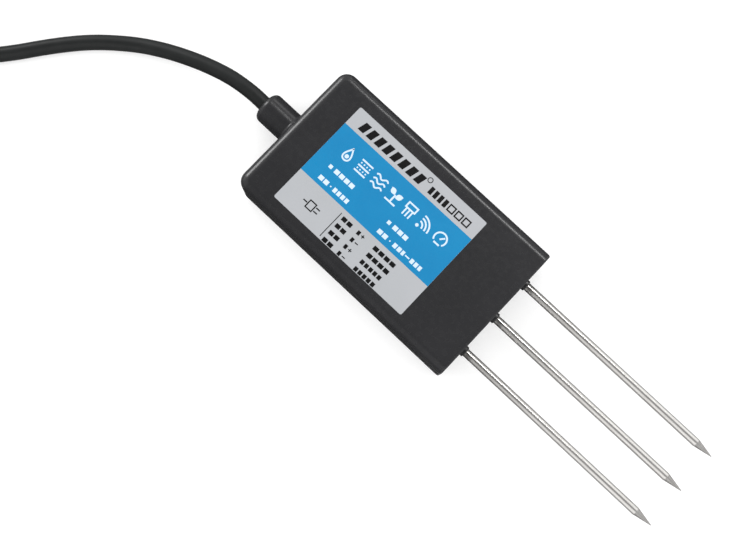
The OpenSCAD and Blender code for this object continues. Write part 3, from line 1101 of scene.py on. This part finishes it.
def make_label():
    z = LABEL_LOW.z
    film = plate(
        "label_film", [outline(rounded_outline(LABEL_LOW.x, LABEL_LOW.y, LABEL_HIGH.x, LABEL_HIGH.y, 0.5))],
        z, z + FILM_T)
    add_piece(film, label_film(), "label_film", "label")
    x0, y0 = on_label(0.02, BAND_FOOT)
    x1, y1 = on_label(LABEL_HIGH.x - LABEL_LOW.x - 0.02, BAND_TOP)
    base = z + FILM_T
    band = plate("label_blue_band", [outline([(x0, y0), (x1, y0), (x1, y1), (x0, y1)])], base, base + INK_T)
    add_piece(band, ink("ink_blue", srgb(6, 128, 180), srgb(4, 122, 175)), "label_film")
    white = plate("label_white_print", label_white(), base + INK_T, base + 2 * INK_T)
    add_piece(white, ink("ink_white", srgb(206, 222, 234), srgb(198, 216, 232)), "label_film")
    black = plate("label_black_print", label_black(), base, base + INK_T)
    add_piece(black, ink("ink_black", srgb(4, 4, 5), srgb(7, 7, 8)), "label_film")


# ---------------------------------------------------------------- sealed inner nodes

def dress_inner(jacket, resin_material):
    """Materials for the CAD nodes that stay as they are."""
    chip = packaged("chip_epoxy", srgb(26, 26, 28))
    metal = solder("component_metal", (0.6, 0.6, 0.61))
    joint = solder("solder_joint")
    ceramic = packaged("capacitor_ceramic", srgb(170, 132, 88))
    ferrite = packaged("inductor_ferrite", srgb(58, 58, 62))
    looks = {
        "potting": resin_material,
        "cable_inner": jacket,
        "cable_clamp": rubber("clamp_nylon", srgb(222, 222, 214), 0.45),
        "jacket_shrink": rubber("shrink_tube", srgb(28, 29, 30), 0.4),
        "pcb": board_green(),
        "crystal": metal,
        "bulk_capacitor": metal,
        "inductor": ferrite,
        "thermistor": packaged("thermistor_bead", srgb(52, 32, 26)),
    }
    for node in ("controller", "transceiver", "regulator", "diode_a", "diode_b"):
        looks[node] = chip
    for letter in "abc":
        looks["capacitor_" + letter] = ceramic
        looks["resistor_" + letter] = chip
    for side in SIDES:
        looks["probe_joint_" + side] = joint
    for wire in WIRES:
        looks["core_" + wire] = bpy.data.materials["insulation_" + wire]
        looks["wire_joint_" + wire] = joint
    for name, material in looks.items():
        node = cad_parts[name]
        if not node.material_slots:
            node.data.materials.append(material)
        for slot in node.material_slots:
            slot.material = material


# ---------------------------------------------------------------- studio

FLOOR_HALF = 3000       # mm
TENT_STRENGTH = 1.3
# (place between -1 and 1 along X or Z, brightness) round the tent, as reflections see it
TENT_ALONG = (
    (-0.88, 1), (-0.8, 0.45), (-0.36, 0.45), (-0.28, 0.1), (0.02, 0.1),
    (0.12, 1), (0.4, 1), (0.5, 0.4), (0.76, 0.4), (0.84, 1))
TENT_HEIGHT = ((-0.05, 0.34), (0.03, 1), (0.82, 1), (0.93, 0.3))


# (name, place, aim, width, height, radiance), in metres
LAMPS = (
    ("edge_strip", (-0.07, 0.56, 0.84), (-0.03, 0, 0), 0.4, 0.11, 17),
    ("end_strip", (-1.0, 0.1, 0.43), (-0.03, 0, 0), 0.32, 0.4, 9),
    ("boss_card", (-0.36, 0.9, 0.42), (X_BOSS * MM, 0, 0), 0.18, 0.3, 2.2),
)


def make_floor():
    bm = bmesh.new()
    bmesh.ops.create_grid(bm, x_segments=8, y_segments=8, size=FLOOR_HALF)
    floor = finish_mesh("floor", bm)
    floor.data.materials.append(pale_floor())
    floor.visible_glossy = False


def soft_light(name, place, aim, width, height, radiance):
    """A softbox of that size in metres, facing aim. It casts no shadow, so it only draws a highlight."""
    data = bpy.data.lights.new(name, "AREA")
    data.shape = "RECTANGLE"
    data.size = width
    data.size_y = height
    data.energy = radiance * width * height * math.pi
    data.use_shadow = False
    light = bpy.data.objects.new(name, data)
    bpy.context.scene.collection.objects.link(light)
    light.location = place
    light.rotation_euler = (Vector(aim) - Vector(place)).to_track_quat("-Z", "Y").to_euler()


def ramp_over(nodes, links, value, stops):
    """Brightness along one part of a direction, from (place between -1 and 1, brightness) stops."""
    spread = nodes.new("ShaderNodeMapRange")
    spread.inputs["From Min"].default_value = -1
    links.new(value, spread.inputs["Value"])
    ramp = nodes.new("ShaderNodeValToRGB")
    links.new(spread.outputs["Result"], ramp.inputs["Fac"])
    elements = ramp.color_ramp.elements
    while len(elements) < len(stops):
        elements.new(0.5)
    for element, (place, level) in zip(elements, stops):
        element.position = (place + 1) / 2
        element.color = (level, level, level, 1)
    return ramp.outputs["Color"]


def make_world():
    """Even white light. Reflections see a darker light tent instead, with dark cards on its walls."""
    world = bpy.data.worlds.new("studio")
    world.use_nodes = True
    bpy.context.scene.world = world
    nodes, links = world.node_tree.nodes, world.node_tree.links
    white = nodes["Background"]
    white.inputs["Color"].default_value = (1, 1, 1, 1)
    white.inputs["Strength"].default_value = 1.0
    coordinates = nodes.new("ShaderNodeTexCoord")
    split = nodes.new("ShaderNodeSeparateXYZ")
    links.new(coordinates.outputs["Generated"], split.inputs["Vector"])
    along = ramp_over(nodes, links, split.outputs["X"], TENT_ALONG)
    height = ramp_over(nodes, links, split.outputs["Z"], TENT_HEIGHT)
    both = nodes.new("ShaderNodeVectorMath")
    both.operation = "MULTIPLY"
    links.new(along, both.inputs[0])
    links.new(height, both.inputs[1])
    tent = nodes.new("ShaderNodeBackground")
    tent.inputs["Strength"].default_value = TENT_STRENGTH
    links.new(both.outputs["Vector"], tent.inputs["Color"])
    ray = nodes.new("ShaderNodeLightPath")
    choice = nodes.new("ShaderNodeMixShader")
    links.new(ray.outputs["Is Glossy Ray"], choice.inputs["Fac"])
    links.new(white.outputs["Background"], choice.inputs[1])
    links.new(tent.outputs["Background"], choice.inputs[2])
    links.new(choice.outputs["Shader"], nodes["World Output"].inputs["Surface"])


def make_studio():
    make_floor()
    make_world()
    for lamp in LAMPS:
        soft_light(*lamp)
    scene = bpy.context.scene
    scene.view_settings.view_transform = "Standard"
    scene.view_settings.look = "None"
    scene.cycles.use_denoising = True


# ---------------------------------------------------------------- making it all

make_camera()
jacket_material = make_cable()
make_housing()
make_grommet()
resin_material = resin()
steel_material = steel()
sleeve_material = rubber("sleeve_tube", srgb(26, 26, 28), 0.34)
for side in SIDES:
    make_probe(side, steel_material)
    make_sleeve(side, sleeve_material)
make_resin_face(resin_material)
make_label()
dress_inner(jacket_material, resin_material)
make_studio()
